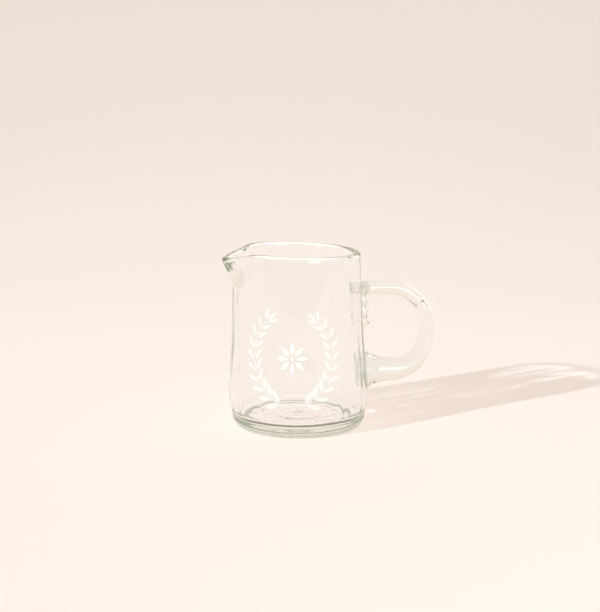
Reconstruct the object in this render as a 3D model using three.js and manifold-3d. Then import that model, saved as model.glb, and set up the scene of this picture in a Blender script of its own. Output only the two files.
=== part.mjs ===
// Creamer in clear blown glass: a thick-based body with a pulled pouring lip, a drawn loop handle
// set on the wall, and a crimped tail pressed on under the handle's upper joint.
// Millimetres, +Z up, origin at the centre of the underside, handle towards +X, lip towards -X.

import * as THREE from 'three';
import { mergeVertices } from 'three/addons/utils/BufferGeometryUtils.js';
import Module from 'manifold-3d';

// Body
const HEIGHT = 102; // table to the top of the rim
const BELLY_RADIUS = 41.2; // widest outside radius, low on the body
const BELLY_HEIGHT = 17;
const WAIST_RADIUS = 39.2;
const WAIST_HEIGHT = 55;
const RIM_RADIUS = 37.4;
const FOOT_ROUND = 6; // rounding from the flat underside into the wall
const FOOT_DRAW_IN = 0.9; // how far the wall comes in from the belly to the foot's rounding
const RIM_WALL = 4.4; // wall at the rim, whose edge is a full round
const BASE_WALL = 5; // wall above the floor
const FLOOR = 5.5; // glass under the inside corner
const FLOOR_ROUND = 6; // inside corner between wall and floor
const FLOOR_DISH = 0.8; // how far the floor sinks towards its middle
const LEAN = 0.9; // how far the top stands off plumb, towards the lip
const RIM_FALL = 1.2; // how far the rim falls from the axis to the handle's side

// Pouring lip, pulled out of the soft rim
const LIP_PULL = 5.8; // how far its edge is drawn out
const LIP_DROP = 4.9; // how far its edge is drawn down
const LIP_DEPTH = 19; // rim's rounding to where the pull runs out in the wall
const LIP_HALF_ANGLE = THREE.MathUtils.degToRad(34);
const LIP_DIP_HALF_ANGLE = THREE.MathUtils.degToRad(52); // where the rim starts to dip towards the lip
const LIP_PINCH = 0.9; // how far the rim is pressed in at both sides of the lip
const LIP_PINCH_SPREAD = THREE.MathUtils.degToRad(10);

// Loop handle, thin at the upper joint and thick where the gather was first set down
const UPPER_JOINT_DROP = 22.8; // rim to the middle of the upper joint
const LOWER_JOINT_HEIGHT = 30.6;
const LOOP_REACH = 37.5; // wall to the middle of the strap at its farthest
const UPPER_BEND = 22.2; // outward run of the upper bend
const LOWER_BEND = 19.2; // outward run of the lower bend
const STRAP_THIN = 7.6; // thickness in the plane of the loop, at the upper joint
const STRAP_THICK = 17.5; // the same at the lower joint
const STRAP_NARROW = 9; // width across the loop, at the upper joint
const STRAP_WIDE = 18; // the same at the lower joint
const PAD_SPREAD = 4.4; // how much the lower joint spreads on the wall
const PAD_LENGTH = 9;
const JOINT_SPREAD = 2.2; // how much the upper joint spreads on the wall
const JOINT_LENGTH = 5;

// Crimped tail under the upper joint
const TAIL_LENGTH = 20.4; // strap's underside to the tail's tip
const TAIL_WIDTH = 10.5; // at the crests
const TAIL_WAIST = 9.4; // width in the valleys
const CRIMP_COUNT = 3;
const CRIMP_CREST = 4.4; // how far a crest stands off the wall
const CRIMP_VALLEY = 2.4; // how far a valley stands off the wall
const TIP_LENGTH = 4; // rounded tip

const SEAM = 0.3; // gap between pieces where they meet

// Facets
const AROUND = 84;
const ROUND_STEPS = 5;
const RIM_STEPS = 8;
const WALL_STEPS = 8;
const LIP_STEPS = 7;
const FLOOR_STEPS = 5;
const STRAP_STEPS = 38;
const STRAP_SIDES = 20;
const TAIL_STEPS = 32;
const TAIL_SIDES = 16;

const wasm = await Module();
wasm.setup();

const UPPER_JOINT_HEIGHT = HEIGHT - UPPER_JOINT_DROP;
const RIM_ROUND = RIM_WALL / 2;
const RIM_CENTRE_HEIGHT = HEIGHT - RIM_ROUND;
const FOOT_RADIUS = BELLY_RADIUS - FOOT_DRAW_IN - FOOT_ROUND;

function smooth(x) {
  const t = THREE.MathUtils.clamp(x, 0, 1);
  return t * t * (3 - 2 * t);
}

// Points on an arc in the profile plane, with angles in degrees.
function arc(centreRadius, centreHeight, round, from, to, steps) {
  const points = [];
  for (let i = 0; i <= steps; i++) {
    const a = THREE.MathUtils.degToRad(from + ((to - from) * i) / steps);
    points.push(new THREE.Vector2(centreRadius + round * Math.cos(a), centreHeight + round * Math.sin(a)));
  }
  return points;
}

// Outside radius of the wall by height, from the end of the foot's rounding to the start of the rim's.
const wallCurve = new THREE.CubicInterpolant(
  [FOOT_ROUND, BELLY_HEIGHT, WAIST_HEIGHT, RIM_CENTRE_HEIGHT],
  [FOOT_RADIUS + FOOT_ROUND, BELLY_RADIUS, WAIST_RADIUS, RIM_RADIUS],
  1,
  [0],
);

function wallRadius(height) {
  return wallCurve.evaluate(height)[0];
}

function wallThickness(height) {
  return THREE.MathUtils.mapLinear(height, FLOOR, RIM_CENTRE_HEIGHT, BASE_WALL, RIM_WALL);
}

function insideRadius(height) {
  return wallRadius(height) - wallThickness(height);
}

// Heights between the roundings at which the wall has a ring of points, closer in the lip's zone.
function wallHeights(from) {
  const lipStart = Math.max(RIM_CENTRE_HEIGHT - LIP_DEPTH, from);
  const heights = [];
  for (let i = 1; i <= WALL_STEPS; i++) {
    heights.push(THREE.MathUtils.lerp(from, lipStart, i / WALL_STEPS));
  }
  for (let i = 1; i < LIP_STEPS; i++) {
    heights.push(THREE.MathUtils.lerp(lipStart, RIM_CENTRE_HEIGHT, i / LIP_STEPS));
  }
  return heights;
}

// Closed half section of the body, from the middle of the underside round to the middle of the floor.
function bodyProfile() {
  const cornerHeight = FLOOR + FLOOR_ROUND;
  const floorRadius = insideRadius(cornerHeight) - FLOOR_ROUND;
  const points = [new THREE.Vector2(0, 0), new THREE.Vector2(FOOT_RADIUS / 2, 0)];
  points.push(...arc(FOOT_RADIUS, FOOT_ROUND, FOOT_ROUND, -90, 0, ROUND_STEPS));
  for (const height of wallHeights(FOOT_ROUND)) {
    points.push(new THREE.Vector2(wallRadius(height), height));
  }
  points.push(...arc(RIM_RADIUS - RIM_ROUND, RIM_CENTRE_HEIGHT, RIM_ROUND, 0, 180, RIM_STEPS));
  for (const height of wallHeights(cornerHeight).reverse()) {
    points.push(new THREE.Vector2(insideRadius(height), height));
  }
  points.push(...arc(floorRadius, cornerHeight, FLOOR_ROUND, 0, -90, ROUND_STEPS));
  for (let i = 1; i <= FLOOR_STEPS; i++) {
    const inward = i / FLOOR_STEPS;
    points.push(new THREE.Vector2(floorRadius * (1 - inward), FLOOR - FLOOR_DISH * smooth(inward)));
  }
  return points;
}

// The wall's outside grown by a gap and filled, to cut seats for what stands on the wall.
function seatProfile(gap) {
  const points = [new THREE.Vector2(0, -gap)];
  points.push(...arc(FOOT_RADIUS, FOOT_ROUND, FOOT_ROUND + gap, -90, 0, ROUND_STEPS));
  for (const height of wallHeights(FOOT_ROUND)) {
    points.push(new THREE.Vector2(wallRadius(height) + gap, height));
  }
  points.push(...arc(RIM_RADIUS - RIM_ROUND, RIM_CENTRE_HEIGHT, RIM_ROUND + gap, 0, 90, RIM_STEPS));
  points.push(new THREE.Vector2(0, HEIGHT + gap));
  return points;
}

// Moves a point of the turned body to where it stands in the finished one: lean, falling rim and lip.
function workHot(p) {
  const radius = Math.hypot(p.x, p.y);
  if (radius > 0) {
    const aside = Math.abs(Math.atan2(p.y, -p.x));
    const rise = THREE.MathUtils.clamp(1 - (RIM_CENTRE_HEIGHT - p.z) / LIP_DEPTH, 0, 1) ** 1.5;
    const across = 1 - smooth(aside / LIP_HALF_ANGLE);
    const dip = 1 - smooth(aside / LIP_DIP_HALF_ANGLE);
    const press = Math.exp(-(((aside - LIP_HALF_ANGLE) / LIP_PINCH_SPREAD) ** 2));
    const out = rise * (LIP_PULL * across - LIP_PINCH * press);
    const fall = RIM_FALL * (p.x / RIM_RADIUS) * (p.z / HEIGHT) ** 2;
    p.x *= 1 + out / radius;
    p.y *= 1 + out / radius;
    p.x -= (LEAN * p.z) / HEIGHT;
    p.z -= fall + LIP_DROP * dip * rise;
  }
  return p;
}

// Closed geometry as a solid, without seams, faces of no area or shading data.
function solidOf(geometry) {
  geometry.deleteAttribute('normal');
  geometry.deleteAttribute('uv');
  const merged = mergeVertices(geometry, 1e-4);
  const faces = [];
  for (let i = 0; i < merged.index.count; i += 3) {
    const [a, b, c] = [merged.index.getX(i), merged.index.getX(i + 1), merged.index.getX(i + 2)];
    if (a !== b && b !== c && c !== a) {
      faces.push(a, b, c);
    }
  }
  return new wasm.Manifold(
    new wasm.Mesh({
      numProp: 3,
      vertProperties: merged.attributes.position.array,
      triVerts: new Uint32Array(faces),
    }),
  );
}

function turned(profile) {
  const geometry = new THREE.LatheGeometry(profile, AROUND);
  geometry.rotateX(Math.PI / 2);
  const position = geometry.attributes.position;
  const p = new THREE.Vector3();
  for (let i = 0; i < position.count; i++) {
    workHot(p.fromBufferAttribute(position, i));
    position.setXYZ(i, p.x, p.y, p.z);
  }
  return solidOf(geometry);
}

// Solid through oval sections, each with a middle, an outward direction in the loop's plane and two half sizes.
function loft(sections, sides) {
  const position = [];
  const index = [];
  for (const { middle, outward, thick, wide } of sections) {
    for (let j = 0; j < sides; j++) {
      const a = (2 * Math.PI * j) / sides;
      const t = thick * Math.cos(a);
      position.push(middle.x + outward.x * t, wide * Math.sin(a), middle.z + outward.z * t);
    }
  }
  for (let i = 0; i + 1 < sections.length; i++) {
    for (let j = 0; j < sides; j++) {
      const a = i * sides + j;
      const b = i * sides + ((j + 1) % sides);
      index.push(a, b + sides, b, a, a + sides, b + sides);
    }
  }
  const last = (sections.length - 1) * sides;
  for (let j = 1; j + 1 < sides; j++) {
    index.push(0, j, j + 1);
    index.push(last, last + j + 1, last + j);
  }
  const geometry = new THREE.BufferGeometry();
  geometry.setAttribute('position', new THREE.Float32BufferAttribute(position, 3));
  geometry.setIndex(index);
  return solidOf(geometry);
}

function wallPoint(height) {
  return workHot(new THREE.Vector3(wallRadius(height), 0, height));
}

// Run of the strap's middle: straight off the wall, round two bends and straight back.
function strapPath() {
  const top = wallPoint(UPPER_JOINT_HEIGHT);
  const low = wallPoint(LOWER_JOINT_HEIGHT);
  const side = new THREE.Vector3(0, 0, (top.z + low.z) / 2);
  side.x = wallPoint(side.z).x + LOOP_REACH;
  const topBend = new THREE.Vector3(side.x - UPPER_BEND, 0, top.z);
  const lowBend = new THREE.Vector3(side.x - LOWER_BEND, 0, low.z);
  const round = (4 / 3) * (Math.SQRT2 - 1); // control length of a quarter ellipse
  const along = (from, towards) => from.clone().lerp(towards, round);
  const topCorner = new THREE.Vector3(side.x, 0, top.z);
  const lowCorner = new THREE.Vector3(side.x, 0, low.z);
  const path = new THREE.CurvePath();
  path.add(new THREE.LineCurve3(top.clone().setX(top.x - RIM_WALL), topBend));
  path.add(new THREE.CubicBezierCurve3(topBend, along(topBend, topCorner), along(side, topCorner), side));
  path.add(new THREE.CubicBezierCurve3(side, along(side, lowCorner), along(lowBend, lowCorner), lowBend));
  path.add(new THREE.LineCurve3(lowBend, low.clone().setX(low.x - BASE_WALL)));
  return path;
}

// The strap, grown all round by a gap.
function strap(gap) {
  const path = strapPath();
  const length = path.getLength();
  const sections = [];
  for (let i = 0; i <= STRAP_STEPS; i++) {
    const u = i / STRAP_STEPS;
    const tangent = path.getTangent(u);
    const pad = Math.max(0, 1 - (length * (1 - u) - BASE_WALL) / PAD_LENGTH) ** 2;
    const joint = Math.max(0, 1 - (length * u - RIM_WALL) / JOINT_LENGTH) ** 2;
    const thick = THREE.MathUtils.lerp(STRAP_THIN, STRAP_THICK, u ** 3) + PAD_SPREAD * pad;
    const wide = THREE.MathUtils.lerp(STRAP_NARROW, STRAP_WIDE, u ** 3) + PAD_SPREAD * pad;
    sections.push({
      middle: path.getPoint(u),
      outward: new THREE.Vector3(-tangent.z, 0, tangent.x),
      thick: thick / 2 + gap,
      wide: (wide + JOINT_SPREAD * joint) / 2 + gap,
    });
  }
  return loft(sections, STRAP_SIDES);
}

// The tail, laid down the wall from inside the upper joint, with waves crimped into it.
function tail() {
  const start = UPPER_JOINT_HEIGHT;
  const end = UPPER_JOINT_HEIGHT - STRAP_THIN / 2 - TAIL_LENGTH;
  const pitch = TAIL_LENGTH / CRIMP_COUNT;
  const sections = [];
  for (let i = 0; i <= TAIL_STEPS; i++) {
    const height = THREE.MathUtils.lerp(start, end, i / TAIL_STEPS);
    const wave = 0.5 - 0.5 * Math.cos((2 * Math.PI * (height - end)) / pitch);
    const tip = Math.min(1, (height - end) / TIP_LENGTH);
    const round = Math.max(0.3, Math.sqrt(tip * (2 - tip)));
    sections.push({
      middle: wallPoint(height),
      outward: new THREE.Vector3(1, 0, 0),
      thick: round * THREE.MathUtils.lerp(CRIMP_VALLEY, CRIMP_CREST, wave),
      wide: (round * THREE.MathUtils.lerp(TAIL_WAIST, TAIL_WIDTH, wave)) / 2,
    });
  }
  return loft(sections, TAIL_SIDES);
}

const glass = new THREE.MeshStandardMaterial({
  color: 0xdfe8dc,
  roughness: 0.05,
  metalness: 0,
  transparent: true,
  opacity: 0.35,
});

const creamer = new THREE.Group();
creamer.name = 'creamer';

function addPiece(name, solid) {
  const made = solid.getMesh();
  const geometry = new THREE.BufferGeometry();
  geometry.setAttribute('position', new THREE.Float32BufferAttribute(made.vertProperties, 3));
  geometry.setIndex(new THREE.Uint32BufferAttribute(made.triVerts, 1));
  geometry.computeVertexNormals();
  const mesh = new THREE.Mesh(geometry, glass);
  mesh.name = name;
  creamer.add(mesh);
}

const seat = turned(seatProfile(SEAM));
addPiece('body', turned(bodyProfile()));
addPiece('handle', strap(0).subtract(seat));
addPiece('crimped_tail', tail().subtract(seat).subtract(strap(SEAM)));

export default creamer;
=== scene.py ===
"""Dresses the packed glass creamer for a studio picture.

The blown body with its pulled lip and wheel-cut wreath, the drawn handle and the crimped tail are
modelled anew, in clear glass, where the packed part has them. Lengths are in metres.
"""

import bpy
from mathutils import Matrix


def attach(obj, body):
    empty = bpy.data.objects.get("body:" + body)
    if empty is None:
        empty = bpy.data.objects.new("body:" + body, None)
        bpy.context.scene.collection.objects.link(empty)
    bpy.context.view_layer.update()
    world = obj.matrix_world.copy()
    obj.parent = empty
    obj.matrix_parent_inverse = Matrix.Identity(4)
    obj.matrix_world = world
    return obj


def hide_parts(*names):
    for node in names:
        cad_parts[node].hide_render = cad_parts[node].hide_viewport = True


bl_info = {
    "name": "Glass creamer",
    "version": (1, 0, 0),
    "blender": (4, 5, 0),
    "location": "View3D > Sidebar > Creamer",
    "description": "Builds a blown glass creamer and its studio around a packed part",
    "category": "Object",
}

import math

import bmesh
import bpy
from mathutils import Matrix, Vector, noise

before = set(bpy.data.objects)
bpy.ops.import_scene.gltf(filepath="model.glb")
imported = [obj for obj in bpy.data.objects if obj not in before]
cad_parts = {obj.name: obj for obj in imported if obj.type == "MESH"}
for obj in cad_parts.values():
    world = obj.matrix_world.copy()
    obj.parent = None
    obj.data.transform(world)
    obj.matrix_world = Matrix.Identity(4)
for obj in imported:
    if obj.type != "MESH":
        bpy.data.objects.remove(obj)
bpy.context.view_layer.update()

MM = 0.001
ROOT = "root"
GLASS_PIECES = ("body_glass", "handle_glass", "tail_glass")
FROST = "frost"
STRAP_RUN = "strap_run"

# Facets of the dressed pieces
AROUND = 192
FOOT_SEGMENTS = 12
RIM_SEGMENTS = 9
CORNER_SEGMENTS = 12
WALL_CUTS = 60
UNDERSIDE_CUTS = 26
FLOOR_CUTS = 24
STRAP_STEPS = 150
STRAP_SIDES = 48
TAIL_STEPS = 110
TAIL_SIDES = 40
PATH_STEPS = 400  # points on each of the strap's four runs, before they are evened out
CAP_RINGS = 5
CUT_SIDES = 16
CUT_RINGS = 12
SEED_SIDES = 16
SEED_RINGS = 10
SWEEP_SEGMENTS = 48
SMOOTH_ANGLE = math.radians(24)
SLACK = 0.001 * MM  # tolerance where sizes are compared or points merged
PROFILE_MERGE = 0.01 * MM
LONG_EDGE = 10 * MM  # shortest edge of the body's profile that is cut into steps

# Unevenness of the blown inside: how fast each noise runs round the wall and up it
BROAD_AROUND, BROAD_UP = 3.4, 22.0
STREAK_AROUND, STREAK_UP, STREAK_SHIFT = 9.0, 9.0, 4.0
STREAK_SHARE = 0.4
WANDER_AROUND, WANDER_SHIFT = 1.5, 3.0
WANDER = 0.07  # how far the tool rings wander from round, as a share of their radius

# Air bubbles in the body: degrees round it, height and radius in millimetres
BODY_SEEDS = ((228, 48, 0.45), (296, 78, 0.3), (95, 63, 0.4), (20, 30, 0.35))
# Air bubbles in the handle, off the middle of its upper and its lower end
UPPER_SEED = Vector((4.0, -2.0, 1.2)) * MM
LOWER_SEED = Vector((8.0, -3.0, 7.0)) * MM
HANDLE_SEED_RADIUS = 0.5 * MM

# The wreath's cuts: turns on its oval, shares of the leaf's sizes, and lengths
BRANCH_START = math.radians(-80)
BRANCH_END = math.radians(56)
TIP_AHEAD = 0.1
STEM_BACK = 0.45  # of the step from leaf to leaf
LEAF_SPREAD = math.radians(38)
LEAF_OFF_STEM = 0.9 * MM
LAST_LEAF_LENGTH = 0.68
LAST_LEAF_WIDTH = 0.75
STEM_LENGTH = 0.62
STEM_WIDTH = 0.8 * MM
TIP_LENGTH = 0.7
PETAL_MIDDLE = 5.6 * MM
PETAL_LENGTH = 7 * MM
PETAL_WIDTH = 2.7 * MM
EYE_SIZE = 2.2 * MM
CUT_PROUD = 0.03 * MM  # how far the wheel's widest place stands off the wall
FROST_LIFT = 0.015 * MM
FROST_SKIN = 0.01 * MM

STRAP_GROWTH = 3  # power by which the strap thickens towards its lower joint
BLUNT_TIP = 0.12  # smallest share of the tail's section

# Finishes
BLOWN_STRETCH = (1.0, 1.0, 0.12)  # streaks run up the wall
DRAWN_STRETCH = (0.03, 0.1, 1.0)  # streaks run along the strap
FINE_SHARE = 0.25  # of the fine streaks against the broad ones
STREAK_DEPTH = 0.4 * MM
FROST_SHADES = ((0.9, 0.91, 0.9), (0.99, 0.99, 0.985))

# The stage, in metres before the camera's turn
SWEEP_FRONT = -0.62
SWEEP_BACK = 3.4
SWEEP_HALF = 2.8
SWEEP_TOP = 4.6
SWEEP_CURVE = 3.0
SWEEP_GAP = 0.15 * MM
FADE_START, FADE_END = 0.1, 3.6  # run of the paper over which its colour changes
SKYLINE = (-0.06, 0.04)  # slopes of a ray between which the room changes from below to above
KEY_WAY = math.radians(33)
AIM = Vector((0, 0, 0.05))
LAMP_PLACES = {
    "top": (-0.1, 0.1, 1.15),
    "fill": (0.6, -0.95, 0.3),
    "gloss": (0.0, -0.1, 1.2),
    "edge": (0.64, 0.77, 0.45),
    "window": (0.6, -0.95, 0.3),
}
LAMP_SIZES = {
    "top": (0.9, 1.2),
    "fill": (0.6, 0.5),
    "gloss": (2.6, 2.2),
    "edge": (0.25, 0.9),
    "window": (0.6, 0.5),
}
LENS = 72.9
SENSOR = 36
CAMERA_TILT = math.radians(90 - 10.47)
CAMERA_PLACE = (0.0009, -0.703, 0.1997)
BOUNCES = 96
BRIGHTEST_BOUNCE = 1.2  # brighter light that has bounced is held to this

# How much of the paper's own colour, apart from its light and shade, each kind of ray sees
PLAIN_SHARES = (("Is Camera Ray", 0.4), ("Is Transmission Ray", 0.8), ("Is Glossy Ray", 0.12))


# Properties

def length(name, millimetres, description):
    """A length that is written in millimetres and kept in metres."""
    return bpy.props.FloatProperty(
        name=name,
        description=description,
        default=millimetres * MM,
        min=0.0,
        precision=5,
        subtype="DISTANCE",
        unit="LENGTH",
    )


def turn(name, degrees, description):
    """An angle that is written in degrees."""
    return bpy.props.FloatProperty(
        name=name,
        description=description,
        default=math.radians(degrees),
        subtype="ANGLE",
        unit="ROTATION",
    )


def colour(name, rgb, description):
    """A colour in linear values."""
    return bpy.props.FloatVectorProperty(
        name=name,
        description=description,
        default=rgb,
        min=0.0,
        max=1.0,
        size=3,
        subtype="COLOR",
    )


def amount(name, default, description):
    """A plain number."""
    return bpy.props.FloatProperty(name=name, description=description, default=default, min=0.0)


class CreamerBody(bpy.types.PropertyGroup):
    """Sizes of the blown body and its pouring lip."""

    height: length("Height", 103.5, "Table to the top of the rim")
    belly_radius: length("Belly radius", 41.2, "Widest outside radius, low on the body")
    belly_height: length("Belly height", 17, "Height of the widest place")
    waist_radius: length("Waist radius", 39.2, "Outside radius half way up")
    waist_height: length("Waist height", 55, "Height of that radius")
    rim_radius: length("Rim radius", 37.4, "Outside radius at the rim")
    foot_round: length("Foot rounding", 5.5, "Rounding from the underside into the wall")
    foot_draw_in: length("Foot draw-in", 1.6, "How far the wall comes in from belly to foot")
    rim_wall: length("Rim wall", 4.4, "Wall at the rim, whose edge is a full round")
    base_wall: length("Base wall", 5, "Wall above the floor")
    floor: length("Floor", 4.6, "Glass under the inside corner")
    floor_round: length("Floor rounding", 6, "Inside corner between wall and floor")
    floor_rise: length("Floor rise", 0.8, "How far the floor rises towards its middle")
    lean: length("Lean", 0.9, "How far the top stands off plumb, towards the lip")
    rim_fall: length("Rim fall", 1.2, "How far the rim falls towards the handle")
    lip_pull: length("Lip pull", 6.6, "How far the lip is drawn out")
    lip_drop: length("Lip drop", 4.9, "How far the lip is drawn down")
    lip_depth: length("Lip depth", 19, "How far down the outside the pull reaches")
    lip_throat: length("Lip throat", 12, "How far down the inside the pull reaches")
    lip_chute: amount("Lip chute", 1.15, "Run of the outside of the lip, 1 for a straight one")
    throat_chute: amount("Throat chute", 1.5, "Run of the inside of the lip")
    lip_half_angle: turn("Lip half angle", 34, "Half of the lip's width round the rim")
    lip_dip_half_angle: turn("Dip half angle", 52, "Half of the rim that dips to the lip")
    lip_pinch: length("Lip pinch", 0.1, "How far the rim is pressed in beside the lip")
    lip_pinch_spread: turn("Pinch spread", 10, "Width of the pressed places")
    hollow_radius: length("Hollow radius", 6.5, "Ground hollow under the base")
    hollow_depth: length("Hollow depth", 0.5, "Depth of the ground hollow")
    ring_radius: length("Ring radius", 24.5, "Tool ring on the floor")
    ring_width: length("Ring width", 1.0, "Width of the tool rings")
    ring_height: length("Ring height", 0.3, "How far the tool rings stand up")
    inner_ring_radius: length("Inner ring radius", 12, "Second tool ring on the floor")
    button_radius: length("Button radius", 5.6, "Innermost ring on the floor")
    calm: length("Calm rim", 22, "Run below the rim over which the ripples die away")
    ripple: length("Ripple", 0.4, "Unevenness of the inside of the wall")


class CreamerHandle(bpy.types.PropertyGroup):
    """Sizes of the drawn loop handle."""

    upper_joint_drop: length("Upper joint drop", 22.8, "Rim to the middle of the upper joint")
    lower_joint_height: length("Lower joint height", 30.6, "Height of the lower joint's middle")
    loop_reach: length("Loop reach", 38.2, "Wall to the strap's middle at its farthest")
    upper_bend: length("Upper bend", 22.2, "Outward run of the upper bend")
    lower_bend: length("Lower bend", 19.2, "Outward run of the lower bend")
    strap_thin: length("Thin end", 7.6, "Thickness at the upper joint")
    strap_thick: length("Thick end", 17.5, "Thickness at the lower joint")
    strap_narrow: length("Narrow end", 9, "Width at the upper joint")
    strap_wide: length("Wide end", 18, "Width at the lower joint")
    pad_spread: length("Pad spread", 4.4, "How much the lower joint spreads on the wall")
    pad_length: length("Pad length", 9, "Run over which the lower joint spreads")
    joint_spread: length("Joint spread", 2.2, "How much the upper joint spreads")
    joint_length: length("Joint length", 5, "Run over which the upper joint spreads")
    root: length("Root", 6, "How far in the strap's ends start before they are seated on the wall")
    sink: length("Sink", 0.3, "How far fused pieces reach into the wall")


class CreamerTail(bpy.types.PropertyGroup):
    """Sizes of the crimped tail under the upper joint."""

    reach: length("Length", 20.4, "Strap's underside to the tip")
    width: length("Width", 10.5, "Width at the crests")
    waist: length("Waist", 9.4, "Width in the valleys")
    crest: length("Crest", 4.4, "How far a crest stands off the wall")
    valley: length("Valley", 2.4, "How far a valley stands off the wall")
    tip: length("Tip", 4, "Length of the rounded tip")
    crimps: bpy.props.IntProperty(
        name="Crimps", description="Number of crimped waves", default=3, min=1
    )


class CreamerWreath(bpy.types.PropertyGroup):
    """Sizes of the wheel-cut wreath on the front of the wall."""

    middle_height: length("Middle height", 47, "Height of the wreath's middle")
    half_width: length("Half width", 23, "Middle to a branch, across")
    half_height: length("Half height", 27, "Middle to a branch, upright")
    facing: turn("Facing", 11, "Turn of the wreath's middle from the front towards the lip")
    leaf_length: length("Leaf length", 9, "Longest leaf cut")
    leaf_width: length("Leaf width", 2.7, "Width of that cut")
    cut_depth: length("Cut depth", 0.42, "Depth of the longest cuts")
    leaf_pairs: bpy.props.IntProperty(
        name="Leaf pairs", description="Pairs of leaves on one branch", default=10, min=2
    )
    petals: bpy.props.IntProperty(
        name="Petals", description="Petals of the flower", default=8, min=3
    )


class CreamerGlass(bpy.types.PropertyGroup):
    """Finish of the glass."""

    tint: colour("Tint", (0.8, 0.848, 0.77), "Colour that deep glass takes on")
    depth: amount("Tint depth", 9.0, "How strongly the body's depth is tinted, per metre")
    drawn_depth: amount("Drawn tint depth", 18.0, "How strongly handle and tail are tinted")
    polish: amount("Polish", 0.004, "Roughness of the fire-polished surface")
    cut_roughness: amount("Cut roughness", 0.25, "Roughness of the wheel-cut surface")
    streaks: amount("Streaks", 0.8, "Strength of the streaks in the blown wall")


class CreamerStage(bpy.types.PropertyGroup):
    """Colours and light of the studio."""

    floor_colour: colour("Floor", (0.97, 0.875, 0.8), "Paper near the camera")
    back_colour: colour("Backdrop", (0.985, 0.835, 0.725), "Paper at the top of the picture")
    room_colour: colour("Room", (0.25, 0.2, 0.17), "Light of the room round the sweep")
    shine_colour: colour("Shine", (0.64, 0.62, 0.58), "Room above the table as glass shows it")
    dusk_colour: colour("Dusk", (0.28, 0.27, 0.25), "Room below the table as glass mirrors it")
    dim_colour: colour("Dim", (0.88, 0.8, 0.73), "Room below the table seen through glass")
    # The contact colour and sizes below make a painted shadow: a dark ring in the paper's plain
    # colour under the foot
    contact_shadow_colour: colour("Contact", (0.22, 0.21, 0.15), "Paper in the dark ring under the foot")
    contact_shadow_radius: length("Contact radius", 34.2, "Middle of the dark ring under the foot")
    contact_shadow_width: length("Contact width", 2.6, "Half of that ring's width")
    contact_shadow_back: amount("Contact at the back", 0.3, "How much of that ring is left at the back")
    key_colour: colour("Key colour", (0.78, 0.92, 1.0), "Colour of the low lamp")
    key_power: amount("Key light", 2.6, "Low lamp from the left, in watts per square metre")
    key_angle: turn("Key size", 1.6, "How wide the low lamp looks from the creamer")
    key_height: turn("Key height", 25.6, "How high the low lamp stands")
    top_power: amount("Top light", 6.2, "Broad soft lamp overhead, in watts")
    soft_colour: colour("Soft light", (1.0, 0.96, 0.92), "Colour of the soft lamps")
    gloss_power: amount("Gloss light", 80.0, "Wide ceiling that only the body shows, in watts")
    edge_power: amount("Edge light", 2.4, "Upright lamp at the back right, for glass and frost only")
    window_power: amount("Window light", 5.0, "Front lamp for glass and frost only, in watts")
    fill_power: amount("Fill light", 7.0, "Soft lamp beside the camera, in watts")
    camera_turn: turn("Camera turn", 6.54, "How far the camera stands towards the lip")


SETTINGS = {
    "creamer_body": CreamerBody,
    "creamer_handle": CreamerHandle,
    "creamer_tail": CreamerTail,
    "creamer_wreath": CreamerWreath,
    "creamer_glass": CreamerGlass,
    "creamer_stage": CreamerStage,
}


# The body's wall

def eased(x):
    """Rises from 0 to 1 with no slope at both ends."""
    t = min(max(x, 0.0), 1.0)
    return t * t * (3 - 2 * t)


def mixed(a, b, t):
    """Goes from a to b as t goes from 0 to 1."""
    return a + (b - a) * t


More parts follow.
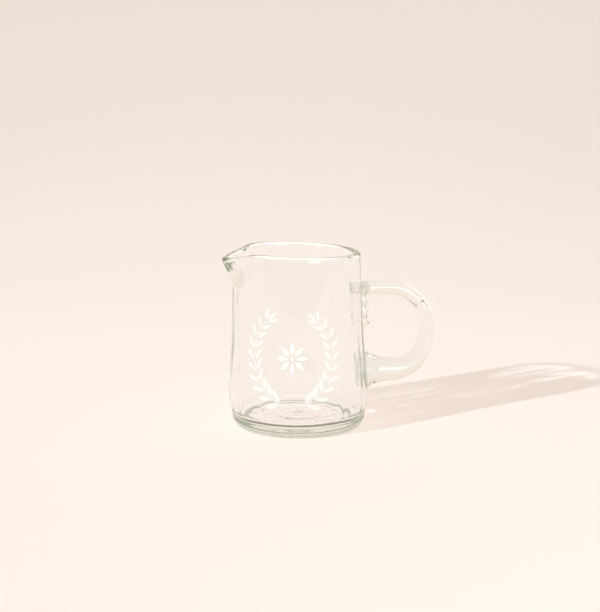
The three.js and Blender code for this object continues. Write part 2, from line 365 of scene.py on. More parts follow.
class Wall:
    """The body's wall by height, and the hot working that shapes the turned body."""

    def __init__(self, body):
        for key in body.bl_rna.properties.keys():
            if key not in ("rna_type", "name"):
                setattr(self, key, getattr(body, key))
        self.rim_round = self.rim_wall / 2
        self.rim_centre = self.height - self.rim_round
        foot = self.belly_radius - self.foot_draw_in
        self.heights = (self.foot_round, self.belly_height, self.waist_height, self.rim_centre)
        self.radii = (foot, self.belly_radius, self.waist_radius, self.rim_radius)
        spans = range(len(self.heights) - 1)
        rises = [self.heights[i + 1] - self.heights[i] for i in spans]
        chords = [(self.radii[i + 1] - self.radii[i]) / rises[i] for i in spans]
        inner = [(a + b) / 2 for a, b in zip(chords, chords[1:])]
        self.slopes = (chords[0], *inner, chords[-1])

    def radius(self, height):
        """Outside radius, on a smooth curve through foot, belly, waist and rim."""
        h = min(max(height, self.heights[0]), self.heights[-1])
        i = 0
        while h > self.heights[i + 1]:
            i += 1
        rise = self.heights[i + 1] - self.heights[i]
        t = (h - self.heights[i]) / rise
        ease = eased(t)
        leave = t * (1 - t) ** 2 * rise
        arrive = t * t * (t - 1) * rise
        bent = leave * self.slopes[i] + arrive * self.slopes[i + 1]
        return mixed(self.radii[i], self.radii[i + 1], ease) + bent

    def inside(self, height):
        """Inside radius."""
        h = min(max(height, self.floor), self.rim_centre)
        t = (h - self.floor) / (self.rim_centre - self.floor)
        return self.radius(height) - mixed(self.base_wall, self.rim_wall, t)

    def worked(self, co, inside=False):
        """Where a point of the turned body ends up: lean, falling rim and pulled lip."""
        radius = math.hypot(co.x, co.y)
        if radius == 0:
            return co.copy()
        aside = abs(math.atan2(co.y, -co.x))
        depth, chute = self.lip_depth, self.lip_chute
        if inside:
            depth, chute = self.lip_throat, self.throat_chute
        low = (self.rim_centre - co.z) / depth
        rise = min(max(1 - low, 0.0), 1.0) ** chute
        across = 1 - eased(aside / self.lip_half_angle)
        dip = 1 - eased(aside / self.lip_dip_half_angle)
        press = math.exp(-(((aside - self.lip_half_angle) / self.lip_pinch_spread) ** 2))
        out = 1 + rise * (self.lip_pull * across - self.lip_pinch * press) / radius
        fall = self.rim_fall * (co.x / self.rim_radius) * (co.z / self.height) ** 2
        return Vector((
            co.x * out - self.lean * co.z / self.height,
            co.y * out,
            co.z - fall - self.lip_drop * dip * rise,
        ))

    def point(self, height):
        """The worked wall's outside in the loop's plane, on the handle's side."""
        return self.worked(Vector((self.radius(height), 0, height)))

    def seated(self, co, sink):
        """Moves a point that lies deep in the wall out to just under its surface."""
        plumb = self.lean * co.z / self.height
        seat = self.radius(co.z) - sink
        if math.hypot(co.x + plumb, co.y) < seat:
            return Vector((math.sqrt(seat * seat - co.y * co.y) - plumb, co.y, co.z))
        return co.copy()


def outward_way(co):
    """Level direction from the body's axis to a point."""
    radius = co.xy.length
    return Vector((co.x / radius, co.y / radius, 0)) if radius else Vector((0, 0, 0))


def noise_round(way, pace, level):
    """Smooth noise on a circle of directions, at a level of its own."""
    return noise.noise(Vector((way.x * pace, way.y * pace, level)))


# Modelling helpers

def new_object(name, bm, material):
    """Turns a finished bmesh into a smooth object of the scene."""
    mesh = bpy.data.meshes.new(name)
    bm.to_mesh(mesh)
    bm.free()
    mesh.materials.append(material)
    mesh.polygons.foreach_set("use_smooth", [True] * len(mesh.polygons))
    made = bpy.data.objects.new(name, mesh)
    bpy.context.scene.collection.objects.link(made)
    return made


def new_piece(name, bm, node, material):
    """Turns a finished bmesh into a piece of glass that stands for a CAD node."""
    piece = new_object(name, bm, material)
    piece.cycles.is_caustics_caster = True
    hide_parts(node)
    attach(piece, ROOT)


def face_outwards(bm):
    """Turns a closed shape whose faces agree with each other the right way out."""
    bm.normal_update()
    if bm.calc_volume(signed=True) < 0:
        bmesh.ops.reverse_faces(bm, faces=bm.faces[:])


def add_seeds(bm, seeds):
    """Leaves small air bubbles in the glass, each given by its middle and radius."""
    for middle, radius in seeds:
        made = bmesh.ops.create_uvsphere(
            bm,
            u_segments=SEED_SIDES,
            v_segments=SEED_RINGS,
            radius=radius,
            matrix=Matrix.Translation(middle),
        )["verts"]
        faces = list({face for vert in made for face in vert.link_faces})
        bmesh.ops.reverse_faces(bm, faces=faces)


def corner_at(bm, radius, height):
    """The profile's point nearest to a corner."""
    target = Vector((radius, 0, height))
    return min(bm.verts, key=lambda v: (v.co - target).length)


def round_corner(bm, corner, offset, segments):
    """Rounds a corner of an open line."""
    bmesh.ops.bevel(
        bm,
        geom=[corner],
        affect="VERTICES",
        offset_type="OFFSET",
        offset=offset,
        segments=segments,
        profile=0.5,
        material=-1,
    )


def long_edge_at(bm, upright, radius):
    """The profile's long edge that stands, or lies, nearest to a radius."""
    def fits(edge):
        a, b = (v.co for v in edge.verts)
        stands = abs(a.z - b.z) > abs(a.x - b.x)
        return stands == upright
    chosen = [e for e in bm.edges if fits(e) and e.calc_length() > LONG_EDGE]
    return min(chosen, key=lambda e: abs(max(v.co.x for v in e.verts) - radius))


def swept(sections, sides):
    """A closed tube through sections, each a matrix that places a unit circle."""
    bm = bmesh.new()
    run = bm.verts.layers.float_vector.new(STRAP_RUN)
    ring = bmesh.ops.create_circle(
        bm, cap_ends=False, radius=1, segments=sides, matrix=sections[0]
    )["verts"]
    edges = bm.edges[:]
    first = ring
    travelled = 0.0
    for i, vert in enumerate(ring):
        vert[run] = (i / sides, 0, 0)
    for before, after in zip(sections, sections[1:]):
        travelled += (after.translation - before.translation).length
        grown = bmesh.ops.extrude_edge_only(bm, edges=edges)["geom"]
        ring = [g for g in grown if isinstance(g, bmesh.types.BMVert)]
        fresh = set(ring)
        edges = [
            g for g in grown
            if isinstance(g, bmesh.types.BMEdge) and fresh.issuperset(g.verts)
        ]
        bmesh.ops.transform(bm, matrix=after @ before.inverted(), verts=ring)
        for vert in ring:
            vert[run] = (vert[run].x, travelled, 0)
    bmesh.ops.pointmerge(bm, verts=first, merge_co=sections[0].translation)
    bmesh.ops.pointmerge(bm, verts=ring, merge_co=sections[-1].translation)
    bmesh.ops.recalc_face_normals(bm, faces=bm.faces)
    return bm


def section(middle, outward, thick, wide, tangent):
    """Matrix that places a unit circle as an oval across a run in the loop's plane."""
    return Matrix((
        (outward.x * thick, 0, tangent.x, middle.x),
        (0, wide, 0, 0),
        (outward.z * thick, 0, tangent.z, middle.z),
        (0, 0, 0, 1),
    ))


def with_caps(sections):
    """Adds shrinking copies of the two end sections, which close the tube."""
    shares = [(i + 0.5) / (CAP_RINGS + 0.5) for i in range(CAP_RINGS)]
    ends = []
    for end in (sections[0], sections[-1]):
        shrunk = [end @ Matrix.Diagonal((share, share, 1, 1)) for share in shares]
        ends.append(shrunk)
    return ends[0] + sections + ends[1][::-1]


# Materials

def link(tree, source, out, target, into):
    """Joins an output of one node to an input of another."""
    tree.links.new(source.outputs[out], target.inputs[into])


def add_node(tree, kind, **values):
    """A new node with its plain settings, and inputs by name where they exist."""
    made = tree.nodes.new(kind)
    for key, value in values.items():
        if key in made.inputs:
            made.inputs[key].default_value = value
        else:
            setattr(made, key, value)
    return made


def add_mix(tree, factor, first, second):
    """Mixes two colours, each given by values or a socket, and gives the socket of the result."""
    mix = add_node(tree, "ShaderNodeMix", data_type="RGBA")
    tree.links.new(factor, mix.inputs["Factor"])
    entries = [x for x in mix.inputs if x.type == "RGBA"]
    for entry, source in zip(entries, (first, second)):
        if isinstance(source, bpy.types.NodeSocket):
            tree.links.new(source, entry)
        else:
            entry.default_value = (*source, 1)
    return next(x for x in mix.outputs if x.type == "RGBA")


def streak_group():
    """Height of the faint streaks and waves that hot glass keeps: long noise over broad noise."""
    name = "hot_glass_streaks"
    if name in bpy.data.node_groups:
        return bpy.data.node_groups[name]
    group = bpy.data.node_groups.new(name, "ShaderNodeTree")
    face = group.interface
    face.new_socket("Vector", in_out="INPUT", socket_type="NodeSocketVector")
    face.new_socket("Fine scale", in_out="INPUT", socket_type="NodeSocketFloat")
    face.new_socket("Broad scale", in_out="INPUT", socket_type="NodeSocketFloat")
    face.new_socket("Height", in_out="OUTPUT", socket_type="NodeSocketFloat")
    entry = group.nodes.new("NodeGroupInput")
    leave = group.nodes.new("NodeGroupOutput")
    fine = add_node(group, "ShaderNodeTexNoise", Detail=2.0, Roughness=0.5)
    broad = add_node(group, "ShaderNodeTexNoise", Detail=1.0, Roughness=0.4)
    both = add_node(group, "ShaderNodeMath", operation="MULTIPLY_ADD")
    both.inputs[1].default_value = FINE_SHARE
    link(group, entry, "Vector", fine, "Vector")
    link(group, entry, "Vector", broad, "Vector")
    link(group, entry, "Fine scale", fine, "Scale")
    link(group, entry, "Broad scale", broad, "Scale")
    link(group, fine, "Fac", both, 0)
    link(group, broad, "Fac", both, 2)
    link(group, both, "Value", leave, "Height")
    return group


def glass_material(name, glass, depth, stretch, coordinate, cut):
    """Clear glass with a tint that grows with depth, streaks in its surface and frosted cuts."""
    material = bpy.data.materials.new(name)
    material.use_nodes = True
    tree = material.node_tree
    tree.nodes.clear()
    out = tree.nodes.new("ShaderNodeOutputMaterial")
    surface = add_node(tree, "ShaderNodeBsdfPrincipled")
    surface.inputs["Base Color"].default_value = (1.0, 1.0, 1.0, 1)
    surface.inputs["Roughness"].default_value = glass.polish
    surface.inputs["IOR"].default_value = 1.5
    surface.inputs["Transmission Weight"].default_value = 1.0
    link(tree, surface, "BSDF", out, "Surface")
    volume = add_node(tree, "ShaderNodeVolumeAbsorption")
    volume.inputs["Color"].default_value = (*glass.tint, 1)
    volume.inputs["Density"].default_value = depth
    link(tree, volume, "Volume", out, "Volume")
    mapping = add_node(tree, "ShaderNodeMapping")
    mapping.inputs["Scale"].default_value = stretch
    if coordinate == "Object":
        place = tree.nodes.new("ShaderNodeTexCoord")
        link(tree, place, "Object", mapping, "Vector")
    else:
        place = add_node(tree, "ShaderNodeAttribute", attribute_name=coordinate)
        link(tree, place, "Vector", mapping, "Vector")
    streaks = add_node(tree, "ShaderNodeGroup", node_tree=streak_group())
    streaks.inputs["Fine scale"].default_value = 260.0
    streaks.inputs["Broad scale"].default_value = 70.0
    link(tree, mapping, "Vector", streaks, "Vector")
    bump = add_node(tree, "ShaderNodeBump", Strength=glass.streaks, Distance=STREAK_DEPTH)
    link(tree, streaks, "Height", bump, "Height")
    link(tree, bump, "Normal", surface, "Normal")
    if cut:
        frost = add_node(tree, "ShaderNodeAttribute", attribute_name=FROST)
        rough = add_node(tree, "ShaderNodeMapRange")
        rough.inputs["To Min"].default_value = glass.polish
        rough.inputs["To Max"].default_value = glass.cut_roughness
        link(tree, frost, "Fac", rough, "Value")
        link(tree, rough, "Result", surface, "Roughness")
    return material


def frost_material():
    """White ground grain that lets the glass below show through."""
    material = bpy.data.materials.new("wheel_frost")
    material.use_nodes = True
    tree = material.node_tree
    surface = tree.nodes["Principled BSDF"]
    surface.inputs["Roughness"].default_value = 0.9
    place = tree.nodes.new("ShaderNodeTexCoord")
    grain = add_node(tree, "ShaderNodeTexNoise", Scale=1800.0, Detail=3.0)
    link(tree, place, "Object", grain, "Vector")
    cover = add_node(tree, "ShaderNodeMapRange")
    cover.inputs["From Min"].default_value = 0.35
    cover.inputs["From Max"].default_value = 0.65
    cover.inputs["To Min"].default_value = 0.08
    cover.inputs["To Max"].default_value = 0.28
    link(tree, grain, "Fac", cover, "Value")
    link(tree, cover, "Result", surface, "Alpha")
    shade = add_mix(tree, grain.outputs["Fac"], *FROST_SHADES)
    tree.links.new(shade, surface.inputs["Base Color"])
    return material


# Operators

class CREAMER_OT_body(bpy.types.Operator):
    """Blow the body and pull its pouring lip"""

    bl_idname = "creamer.body"
    bl_label = "Body"

    def execute(self, context):
        scene = context.scene
        wall = Wall(scene.creamer_body)
        bm = bmesh.new()
        outer = wall.radii[0]
        inner = outer - wall.rim_wall
        corners = (
            (0, 0),
            (outer, 0),
            (outer, wall.height),
            (inner, wall.height),
            (inner, wall.floor),
            (0, wall.floor),
        )
        chain = [bm.verts.new((radius, 0, height)) for radius, height in corners]
        for a, b in zip(chain, chain[1:]):
            bm.edges.new((a, b))
        roundings = (
            (outer, 0, wall.foot_round, FOOT_SEGMENTS),
            (outer, wall.height, wall.rim_round, RIM_SEGMENTS),
            (inner, wall.height, wall.rim_round, RIM_SEGMENTS),
            (inner, wall.floor, wall.floor_round, CORNER_SEGMENTS),
        )
        for radius, height, offset, segments in roundings:
            round_corner(bm, corner_at(bm, radius, height), offset, segments)
        bmesh.ops.remove_doubles(bm, verts=bm.verts, dist=PROFILE_MERGE)
        runs = (
            (long_edge_at(bm, True, outer), WALL_CUTS),
            (long_edge_at(bm, True, inner), WALL_CUTS),
            (long_edge_at(bm, False, outer - wall.foot_round), UNDERSIDE_CUTS),
            (long_edge_at(bm, False, inner - wall.floor_round), FLOOR_CUTS),
        )
        for edge, cuts in runs:
            bmesh.ops.bisect_edges(bm, edges=[edge], cuts=cuts)
        bmesh.ops.spin(
            bm,
            geom=bm.verts[:] + bm.edges[:],
            cent=(0, 0, 0),
            axis=(0, 0, 1),
            angle=math.tau,
            steps=AROUND,
            use_merge=True,
        )
        bmesh.ops.remove_doubles(bm, verts=bm.verts, dist=SLACK)
        bmesh.ops.recalc_face_normals(bm, faces=bm.faces)
        for vert in bm.verts:
            in_hollow = vert.co.z > wall.floor - SLACK and vert.co.xy.length < inner + SLACK
            if in_hollow:
                vert.co = wall.worked(self.blown_inside(wall, vert.co, inner), True)
            else:
                vert.co = wall.worked(self.blown_outside(wall, vert.co, outer, inner))
        add_seeds(bm, self.wall_seeds(wall))
        glass = scene.creamer_glass
        material = glass_material(
            "blown_glass", glass, glass.depth, BLOWN_STRETCH, "Object", True
        )
        new_piece("body_glass", bm, "body", material)
        return {"FINISHED"}

    @staticmethod
    def wall_seeds(wall):
        """Middle and radius of the air bubbles, half way into the wall."""
        half_wall = (wall.base_wall + wall.rim_wall) / 4
        seeds = []
        for around, height, size in BODY_SEEDS:
            angle = math.radians(around)
            radius = wall.radius(height * MM) - half_wall
            spot = Vector((radius * math.cos(angle), radius * math.sin(angle), height * MM))
            seeds.append((wall.worked(spot), size * MM))
        return seeds

    @staticmethod
    def blown_inside(wall, co, inner):
        """Where a point of the blank's inside stands: curved wall, tool rings and ripples."""
        radius = co.xy.length
        way = outward_way(co)
        floor_radius = inner - wall.floor_round
        above_floor = (co.z - wall.floor) / wall.floor_round
        below_rim = (wall.rim_centre - co.z) / wall.calm
        level = eased(above_floor) * eased(below_rim)
        broad = noise_round(way, BROAD_AROUND, co.z * BROAD_UP)
        streak = noise_round(way, STREAK_AROUND, co.z * STREAK_UP + STREAK_SHIFT)
        grown = radius * wall.inside(co.z) / inner
        grown += wall.ripple * level * (broad + STREAK_SHARE * streak)
        wander = radius * (1 + WANDER * noise_round(way, WANDER_AROUND, WANDER_SHIFT))
        height = co.z + wall.floor_rise * (1 - eased(radius / floor_radius))
        for ring in (wall.ring_radius, wall.inner_ring_radius, wall.button_radius):
            off = (wander - ring) / wall.ring_width
            height += wall.ring_height * math.exp(-off * off)
        return Vector((way.x * grown, way.y * grown, height))

    @staticmethod
    def blown_outside(wall, co, outer, inner):
        """Where a point of the blank's outside, rim or underside stands."""
        radius = co.xy.length
        way = outward_way(co)
        height = co.z
        if height < wall.floor:
            grown = radius * wall.radius(height) / outer
        else:
            share = min(max((radius - inner) / (outer - inner), 0.0), 1.0)
            grown = mixed(wall.inside(height), wall.radius(height), share)
        if height < SLACK:
            height += wall.hollow_depth * (1 - eased(radius / wall.hollow_radius))
        return Vector((way.x * grown, way.y * grown, height))


class CREAMER_OT_wreath(bpy.types.Operator):
    """Cut a wreath of leaves and a flower into the front of the wall"""

    bl_idname = "creamer.wreath"
    bl_label = "Wheel-cut wreath"

    def execute(self, context):
        scene = context.scene
        wreath = scene.creamer_wreath
        wall = Wall(scene.creamer_body)
        bm = bmesh.new()
        for place, angle, long, wide in self.cuts(wreath):
            self.add_cut(bm, place, angle, long, wide, wreath)
        for vert in bm.verts:
            vert.co = self.wrapped(wall, wreath, vert.co)
        face_outwards(bm)
        cutter_mesh = bpy.data.meshes.new("wheel")
        bm.to_mesh(cutter_mesh)
        bm.free()
        self.mark(cutter_mesh, 1.0)
        cutter = bpy.data.objects.new("wheel", cutter_mesh)
        scene.collection.objects.link(cutter)
        body = bpy.data.objects["body_glass"]
        self.mark(body.data, 0.0)
        cut = body.modifiers.new("wheel cuts", "BOOLEAN")
        cut.operation = "DIFFERENCE"
        cut.solver = "MANIFOLD"
        cut.object = cutter
        with context.temp_override(object=body, active_object=body):
            bpy.ops.object.modifier_apply(modifier=cut.name)
        bpy.data.objects.remove(cutter)
        bpy.data.meshes.remove(cutter_mesh)
        body.data.set_sharp_from_angle(angle=SMOOTH_ANGLE)
        self.add_frost(body)
        return {"FINISHED"}

    @staticmethod
    def mark(mesh, cut):
        """Marks all faces of a mesh as cut, 1, or clear, 0."""
        layer = mesh.attributes.new(FROST, "FLOAT", "FACE")
        layer.data.foreach_set("value", [cut] * len(mesh.polygons))

    @staticmethod
    def add_frost(body):
        """Lays the white grain that the wheel leaves in the cuts on them, as a thin skin."""
        skin = bmesh.new()
        skin.from_mesh(body.data)
        layer = skin.faces.layers.float[FROST]
        clear = [f for f in skin.faces if f[layer] < 0.5]
        bmesh.ops.delete(skin, geom=clear, context="FACES")
        if not skin.faces:
            raise RuntimeError("the wheel cut nothing")
        skin.normal_update()
        for vert in skin.verts:
            vert.co += vert.normal * FROST_LIFT
        bmesh.ops.solidify(skin, geom=skin.faces[:], thickness=FROST_SKIN)
        face_outwards(skin)
        piece = new_object("wreath_frost", skin, frost_material())
        piece.data.set_sharp_from_angle(angle=SMOOTH_ANGLE)
        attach(piece, ROOT)

    @staticmethod
    def on_branch(wreath, side, angle):
        """A point of the left or right branch, at an angle of the wreath's oval."""
        return Vector((
            side * wreath.half_width * math.cos(angle),
            wreath.half_height * math.sin(angle),
        ))

    def cuts(self, wreath):
        """Places of the cuts on the unrolled wall: (across, up), angle, length and width."""
        made = []
        pairs = wreath.leaf_pairs
        step_back = STEM_BACK * (BRANCH_END - BRANCH_START) / pairs
        for side in (-1, 1):
            for i in range(pairs):
                t = (i + 0.5) / pairs
                a = mixed(BRANCH_START, BRANCH_END, t)
                spot = self.on_branch(wreath, side, a)
                ahead = Vector((
                    -side * wreath.half_width * math.sin(a),
                    wreath.half_height * math.cos(a),
                )).normalized()
                heading = math.atan2(ahead.y, ahead.x)
                long = wreath.leaf_length * mixed(1.0, LAST_LEAF_LENGTH, t)
                wide = wreath.leaf_width * mixed(1.0, LAST_LEAF_WIDTH, t)
                for lean in (-1, 1):
                    way = heading + lean * LEAF_SPREAD
                    reach = long / 2 + LEAF_OFF_STEM
                    middle = spot + reach * Vector((math.cos(way), math.sin(way)))
                    made.append((middle, way, long, wide))
                stem = self.on_branch(wreath, side, a - step_back)
                made.append((stem, heading, wreath.leaf_length * STEM_LENGTH, STEM_WIDTH))
            tip = self.on_branch(wreath, side, BRANCH_END + TIP_AHEAD)
            long = wreath.leaf_length * TIP_LENGTH
            made.append((tip, heading, long, wreath.leaf_width * LAST_LEAF_WIDTH))
        for k in range(wreath.petals):
            a = math.tau * k / wreath.petals
            way = Vector((math.cos(a), math.sin(a)))
            made.append((PETAL_MIDDLE * way, a, PETAL_LENGTH, PETAL_WIDTH))
        made.append((Vector((0, 0)), 0.0, EYE_SIZE, EYE_SIZE))
        return made

    @staticmethod
    def add_cut(bm, place, angle, long, wide, wreath):
        """Adds one lens-shaped cut, flat on the unrolled wall: X across, Y outward, Z up."""
        depth = wreath.cut_depth * math.sqrt(wide / wreath.leaf_width)
        made = bmesh.ops.create_uvsphere(
            bm, u_segments=CUT_SIDES, v_segments=CUT_RINGS, radius=1
        )["verts"]
        for vert in made:
            along = vert.co.z
            girth = math.sqrt(max(0.0, 1 - along * along))
            beside = vert.co.x / girth if girth > SLACK else 0.0
            taper = 1 - along * along
            rise = math.copysign(1 - beside * beside, vert.co.y)
            vert.co = Vector((
                along * long / 2,
                depth * taper * rise + CUT_PROUD,
                beside * taper * wide / 2,
            ))
        spin = Matrix.Rotation(-angle, 4, "Y")
        shift = Matrix.Translation((place.x, 0, place.y + wreath.middle_height))
        bmesh.ops.transform(bm, matrix=shift @ spin, verts=made)

    @staticmethod
    def wrapped(wall, wreath, co):
        """Lays a point of the unrolled wall on the worked wall."""
        height = co.z
        radius = wall.radius(height)
        around = co.x / radius - math.pi / 2 - wreath.facing
        grown = radius + co.y
        return wall.worked(Vector((grown * math.cos(around), grown * math.sin(around), height)))


class CREAMER_OT_handle(bpy.types.Operator):
    """Draw the loop handle from joint to joint"""

    bl_idname = "creamer.handle"
    bl_label = "Handle"

    def execute(self, context):
        scene = context.scene
        wall = Wall(scene.creamer_body)
        handle = scene.creamer_handle
        path = strap_path(wall, handle)
        total = path[-1][2]
        sections = []
        for middle, tangent, run in path:
            u = run / total
            pad = max(0.0, 1 - (total - run) / handle.pad_length) ** 2
            joint = max(0.0, 1 - run / handle.joint_length) ** 2
            spread = handle.pad_spread * pad
            growth = u ** STRAP_GROWTH
            thick = mixed(handle.strap_thin, handle.strap_thick, growth) + spread
            wide = mixed(handle.strap_narrow, handle.strap_wide, growth) + spread
            wide += handle.joint_spread * joint
            outward = Vector((-tangent.z, 0, tangent.x))
            sections.append(section(middle, outward, thick / 2, wide / 2, tangent))
        for end in (sections[0], sections[-1]):
            end.translation.x -= handle.root
        bm = swept(with_caps(sections), STRAP_SIDES)
        for vert in bm.verts:
            vert.co = wall.seated(vert.co, handle.sink)
        spots = (path[0][0] + UPPER_SEED, path[-1][0] + LOWER_SEED)
        add_seeds(bm, [(spot, HANDLE_SEED_RADIUS) for spot in spots])
        glass = scene.creamer_glass
        material = glass_material(
            "drawn_glass", glass, glass.drawn_depth, DRAWN_STRETCH, STRAP_RUN, False
        )
        new_piece("handle_glass", bm, "handle", material)
        return {"FINISHED"}


def strap_path(wall, handle):
    """Middle, tangent and travelled length along the strap, from the upper joint to the lower."""
    top = wall.point(wall.height - handle.upper_joint_drop)
    low = wall.point(handle.lower_joint_height)
    side = Vector((0, 0, (top.z + low.z) / 2))
    side.x = wall.point(side.z).x + handle.loop_reach
    upper = side.x - handle.upper_bend
    lower = side.x - handle.lower_bend
    shares = [i / PATH_STEPS for i in range(PATH_STEPS)]
    points = [Vector((mixed(top.x, upper, t), 0, top.z)) for t in shares]
    for t in shares:
        a = math.pi / 2 * (1 - t)
        x = upper + handle.upper_bend * math.cos(a)
        points.append(Vector((x, 0, side.z + (top.z - side.z) * math.sin(a))))
    for t in shares:
        a = -math.pi / 2 * t
        x = lower + handle.lower_bend * math.cos(a)
        points.append(Vector((x, 0, side.z + (side.z - low.z) * math.sin(a))))
    points += [Vector((mixed(lower, low.x, t), 0, low.z)) for t in (*shares, 1.0)]
    runs = [0.0]
    for a, b in zip(points, points[1:]):
        runs.append(runs[-1] + (b - a).length)
    path = []
    j = 0
    for i in range(STRAP_STEPS + 1):
        target = runs[-1] * i / STRAP_STEPS
        while j + 2 < len(runs) and runs[j + 1] < target:
            j += 1
        t = (target - runs[j]) / (runs[j + 1] - runs[j])
        middle = points[j].lerp(points[j + 1], t)
        tangent = (points[j + 1] - points[j]).normalized()
        path.append((middle, tangent, target))
    return path


class CREAMER_OT_tail(bpy.types.Operator):
    """Press the tail on the wall and crimp it"""

    bl_idname = "creamer.tail"
    bl_label = "Crimped tail"

    def execute(self, context):
        scene = context.scene
        wall = Wall(scene.creamer_body)
        handle = scene.creamer_handle
        tail = scene.creamer_tail
        start = wall.height - handle.upper_joint_drop
        end = start - handle.strap_thin / 2 - tail.reach
        pitch = tail.reach / tail.crimps
        sections = []
        for i in range(TAIL_STEPS + 1):
            height = mixed(start, end, i / TAIL_STEPS)
            wave = 0.5 - 0.5 * math.cos(math.tau * (height - end) / pitch)
            tip = min(1.0, (height - end) / tail.tip)
            round_off = max(BLUNT_TIP, math.sqrt(max(0.0, tip * (2 - tip))))
            thick = round_off * mixed(tail.valley, tail.crest, wave)
            wide = round_off * mixed(tail.waist, tail.width, wave) / 2
            down = Vector((0, 0, -1))
            sections.append(section(wall.point(height), Vector((1, 0, 0)), thick, wide, down))
        bm = swept(with_caps(sections), TAIL_SIDES)
        for vert in bm.verts:
            vert.co = wall.seated(vert.co, handle.sink)
        new_piece("tail_glass", bm, "crimped_tail", bpy.data.materials["drawn_glass"])
        return {"FINISHED"}


class CREAMER_OT_stage(bpy.types.Operator):
    """Set up paper sweep, lamps, room and camera"""

    bl_idname = "creamer.stage"
    bl_label = "Stage"

    def execute(self, context):
        scene = context.scene
        stage = scene.creamer_stage
        scene.view_settings.view_transform = "Standard"
        scene.cycles.max_bounces = BOUNCES
        scene.cycles.glossy_bounces = BOUNCES
        scene.cycles.transmission_bounces = BOUNCES
        scene.cycles.sample_clamp_indirect = BRIGHTEST_BOUNCE
        turned = Matrix.Rotation(-stage.camera_turn, 4, "Z")
        self.add_sweep(stage, turned)
        self.add_room(scene, stage)
        self.add_key(scene, stage, turned)
        self.add_paper_lamps(scene, stage, turned)
        self.add_glass_lamps(scene, stage, turned)
        self.add_camera(scene, turned)
        return {"FINISHED"}

    @staticmethod
    def group(name, pieces):
        """A collection of pieces, by name, that lamps are linked to."""
        made = bpy.data.collections.new(name)
        for piece in pieces:
            made.objects.link(bpy.data.objects[piece])
        return made

    def add_paper_lamps(self, scene, stage, turned):
        """Soft lamps that light paper and frost, and pass the glass."""
        passed = self.group("passed_by_light", GLASS_PIECES)
        for entry in passed.collection_objects:
            entry.light_linking.link_state = "EXCLUDE"
        for name, power in (("top", stage.top_power), ("fill", stage.fill_power)):
            lamp = self.add_softbox(scene, name, power, stage.soft_colour, turned)
            lamp.light_linking.blocker_collection = passed
            lamp.light_linking.receiver_collection = passed

    def add_glass_lamps(self, scene, stage, turned):
        """Lamps for the glass and its frost only, which aren't seen through the glass."""
        shown = self.group("shown_in_glass", (*GLASS_PIECES, "wreath_frost"))
        rim = self.group("shown_in_rim", ("body_glass",))
        for name, power, receivers in (
            ("gloss", stage.gloss_power, rim),
            ("edge", stage.edge_power, shown),
            ("window", stage.window_power, shown),
        ):
            lamp = self.add_softbox(scene, name, power, (1, 1, 1), turned)
            lamp.light_linking.receiver_collection = receivers
            lamp.visible_transmission = False

    @staticmethod
    def add_sweep(stage, turned):
        """A sheet of paper that lies on the table and curves up behind."""
        bm = bmesh.new()
        ends = (
            (-SWEEP_HALF, SWEEP_FRONT, -SWEEP_GAP),
            (-SWEEP_HALF, SWEEP_BACK, -SWEEP_GAP),
            (-SWEEP_HALF, SWEEP_BACK, SWEEP_TOP),
        )
        line = [bm.verts.new(end) for end in ends]
        for a, b in zip(line, line[1:]):
            bm.edges.new((a, b))
        round_corner(bm, line[1], SWEEP_CURVE, SWEEP_SEGMENTS)
        grown = bmesh.ops.extrude_edge_only(bm, edges=bm.edges[:])["geom"]
        far = [g for g in grown if isinstance(g, bmesh.types.BMVert)]
        bmesh.ops.translate(bm, verts=far, vec=(2 * SWEEP_HALF, 0, 0))
        bmesh.ops.transform(bm, matrix=turned, verts=bm.verts)
        bmesh.ops.recalc_face_normals(bm, faces=bm.faces)
        sweep = new_object("paper_sweep", bm, paper_material(stage))
        sweep.cycles.is_caustics_receiver = True

    @staticmethod
    def add_room(scene, stage):
        """The room round the sweep, and what the glass and the camera show of it."""
        world = bpy.data.worlds.new("room")
        world.use_nodes = True
        tree = world.node_tree
        place = tree.nodes.new("ShaderNodeTexCoord")
        parts = tree.nodes.new("ShaderNodeSeparateXYZ")
        link(tree, place, "Generated", parts, "Vector")
        level = add_node(tree, "ShaderNodeMapRange", interpolation_type="SMOOTHSTEP")
        level.inputs["From Min"].default_value = SKYLINE[0]
        level.inputs["From Max"].default_value = SKYLINE[1]
        link(tree, parts, "Z", level, "Value")
        path = tree.nodes.new("ShaderNodeLightPath")
        by_glass = add_node(tree, "ShaderNodeMath", operation="MAXIMUM")
        link(tree, path, "Is Glossy Ray", by_glass, 0)
        link(tree, path, "Is Transmission Ray", by_glass, 1)
        through = path.outputs["Is Transmission Ray"]
        below = add_mix(tree, through, stage.dusk_colour, stage.dim_colour)
        shown = add_mix(tree, level.outputs["Result"], below, stage.shine_colour)
        lit = add_mix(tree, by_glass.outputs["Value"], stage.room_colour, shown)
        seen = add_mix(tree, path.outputs["Is Camera Ray"], lit, stage.floor_colour)
        background = tree.nodes["Background"]
        background.inputs["Strength"].default_value = 1.0
        tree.links.new(seen, background.inputs["Color"])
        scene.world = world

    @staticmethod
    def add_key(scene, stage, turned):
        """A small far lamp from the left, whose shadow falls to the right and away."""
        data = bpy.data.lights.new("key", "SUN")
        data.energy = stage.key_power
        data.angle = stage.key_angle
        data.color = stage.key_colour
        data.cycles.is_caustics_light = True
        lamp = bpy.data.objects.new("key", data)
        fall = stage.key_height
        ray = Vector((
            math.cos(fall) * math.cos(KEY_WAY),
            math.cos(fall) * math.sin(KEY_WAY),
            -math.sin(fall),
        ))
        lamp.rotation_euler = (turned @ ray).to_track_quat("-Z", "Y").to_euler()
        scene.collection.objects.link(lamp)

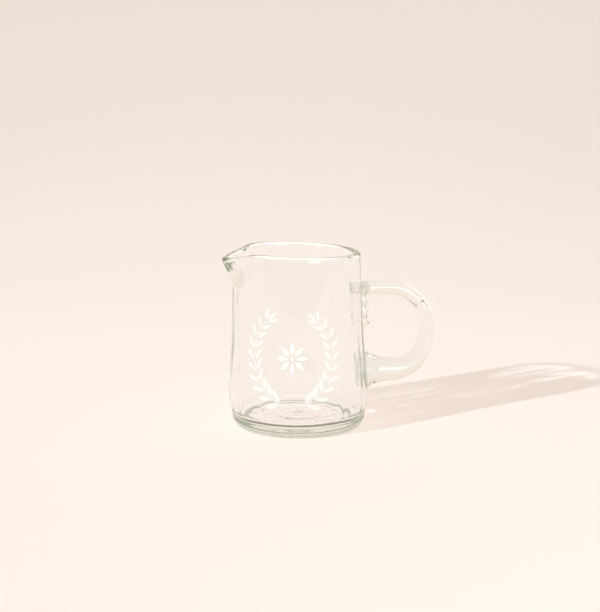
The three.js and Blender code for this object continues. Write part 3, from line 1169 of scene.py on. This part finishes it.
    @staticmethod
    def add_softbox(scene, name, power, colour, turned):
        """A broad soft lamp, in its place, that points at the creamer."""
        data = bpy.data.lights.new(name, "AREA")
        data.shape = "RECTANGLE"
        data.size, data.size_y = LAMP_SIZES[name]
        data.energy = power
        data.color = colour
        lamp = bpy.data.objects.new(name, data)
        spot = turned @ Vector(LAMP_PLACES[name])
        lamp.location = spot
        lamp.rotation_euler = (AIM - spot).to_track_quat("-Z", "Y").to_euler()
        scene.collection.objects.link(lamp)
        return lamp

    @staticmethod
    def add_camera(scene, turned):
        """A camera at the photograph's viewing angle."""
        data = bpy.data.cameras.new("camera")
        data.lens = LENS
        data.sensor_width = SENSOR
        data.sensor_fit = "HORIZONTAL"
        camera = bpy.data.objects.new("camera", data)
        pitch = Matrix.Rotation(CAMERA_TILT, 4, "X")
        camera.matrix_world = turned @ Matrix.Translation(CAMERA_PLACE) @ pitch
        scene.collection.objects.link(camera)
        scene.camera = camera


def painted_contact_shadow(tree, place, parts, stage):
    """Mask of the painted contact shadow: the ring under the foot, where hardly any light comes down
    to the paper.
    """
    flat = add_node(tree, "ShaderNodeVectorMath", operation="MULTIPLY")
    flat.inputs[1].default_value = (1, 1, 0)
    link(tree, place, "Object", flat, 0)
    away = add_node(tree, "ShaderNodeVectorMath", operation="LENGTH")
    link(tree, flat, "Vector", away, 0)
    ring = add_node(tree, "ShaderNodeMath", operation="MULTIPLY")
    for i, (clear, dark) in enumerate(contact_shadow_edges(stage)):
        side = add_node(tree, "ShaderNodeMapRange", interpolation_type="SMOOTHSTEP")
        side.inputs["From Min"].default_value = clear
        side.inputs["From Max"].default_value = dark
        link(tree, away, "Value", side, "Value")
        link(tree, side, "Result", ring, i)
    # The painted shadow grows lighter towards the back
    behind = add_node(tree, "ShaderNodeMapRange", interpolation_type="SMOOTHSTEP")
    behind.inputs["From Max"].default_value = stage.contact_shadow_radius
    behind.inputs["To Min"].default_value = 1.0
    behind.inputs["To Max"].default_value = stage.contact_shadow_back
    link(tree, parts, "Y", behind, "Value")
    faded = add_node(tree, "ShaderNodeMath", operation="MULTIPLY")
    link(tree, ring, "Value", faded, 0)
    link(tree, behind, "Result", faded, 1)
    return faded.outputs["Value"]


def contact_shadow_edges(stage):
    """Radii at which the painted shadow ring under the foot begins and ends, each from clear to
    dark.
    """
    inner = stage.contact_shadow_radius - stage.contact_shadow_width
    outer = stage.contact_shadow_radius + stage.contact_shadow_width
    soft = stage.contact_shadow_width / 2
    return ((inner - soft, inner + soft), (outer + soft, outer - soft))


def paper_material(stage):
    """Matt paper that greys towards the back, stays plain where glass shows it, and has a painted
    contact shadow under the foot.
    """
    paper = bpy.data.materials.new("paper")
    paper.use_nodes = True
    tree = paper.node_tree
    surface = tree.nodes["Principled BSDF"]
    surface.inputs["Roughness"].default_value = 0.9
    surface.inputs["Specular IOR Level"].default_value = 0.0
    place = tree.nodes.new("ShaderNodeTexCoord")
    parts = tree.nodes.new("ShaderNodeSeparateXYZ")
    link(tree, place, "Object", parts, "Vector")
    along = add_node(tree, "ShaderNodeMath", operation="ADD")
    link(tree, parts, "Y", along, 0)
    link(tree, parts, "Z", along, 1)
    fade = add_node(tree, "ShaderNodeMapRange", interpolation_type="SMOOTHSTEP")
    fade.inputs["From Min"].default_value = FADE_START
    fade.inputs["From Max"].default_value = FADE_END
    link(tree, along, "Value", fade, "Value")
    shade = add_mix(tree, fade.outputs["Result"], stage.floor_colour, stage.back_colour)
    tree.links.new(shade, surface.inputs["Base Color"])
    plain = add_node(tree, "ShaderNodeEmission", Strength=1.0)
    contact = painted_contact_shadow(tree, place, parts, stage)
    # Paints the contact shadow into the plain colour that the camera, the glass and reflections see
    dark = add_mix(tree, contact, shade, stage.contact_shadow_colour)
    tree.links.new(dark, plain.inputs["Color"])
    path = tree.nodes.new("ShaderNodeLightPath")
    share = None
    for ray, plainness in PLAIN_SHARES:
        part = add_node(tree, "ShaderNodeMath", operation="MULTIPLY_ADD")
        part.inputs[1].default_value = plainness
        part.inputs[2].default_value = 0.0
        link(tree, path, ray, part, 0)
        if share:
            link(tree, share, "Value", part, 2)
        share = part
    blend = tree.nodes.new("ShaderNodeMixShader")
    link(tree, share, "Value", blend, "Fac")
    link(tree, surface, "BSDF", blend, 1)
    link(tree, plain, "Emission", blend, 2)
    link(tree, blend, "Shader", tree.nodes["Material Output"], "Surface")
    return paper


class CREAMER_PT_panel(bpy.types.Panel):
    """Lists the creamer's pieces and settings"""

    bl_idname = "CREAMER_PT_panel"
    bl_label = "Glass creamer"
    bl_space_type = "VIEW_3D"
    bl_region_type = "UI"
    bl_category = "Creamer"

    def draw(self, context):
        for operator in OPERATORS:
            self.layout.operator(operator.bl_idname)
        for key, group in SETTINGS.items():
            box = self.layout.box()
            box.label(text=group.__doc__)
            for prop in group.__annotations__:
                box.prop(getattr(context.scene, key), prop)


OPERATORS = (
    CREAMER_OT_body,
    CREAMER_OT_wreath,
    CREAMER_OT_handle,
    CREAMER_OT_tail,
    CREAMER_OT_stage,
)
CLASSES = (*SETTINGS.values(), *OPERATORS, CREAMER_PT_panel)


def register():
    for cls in CLASSES:
        bpy.utils.register_class(cls)
    for key, group in SETTINGS.items():
        setattr(bpy.types.Scene, key, bpy.props.PointerProperty(type=group))


def unregister():
    for key in SETTINGS:
        delattr(bpy.types.Scene, key)
    for cls in reversed(CLASSES):
        bpy.utils.unregister_class(cls)


def main():
    register()
    bpy.ops.creamer.body()
    bpy.ops.creamer.wreath()
    bpy.ops.creamer.handle()
    bpy.ops.creamer.tail()
    bpy.ops.creamer.stage()


if __name__ == "__main__":
    main()
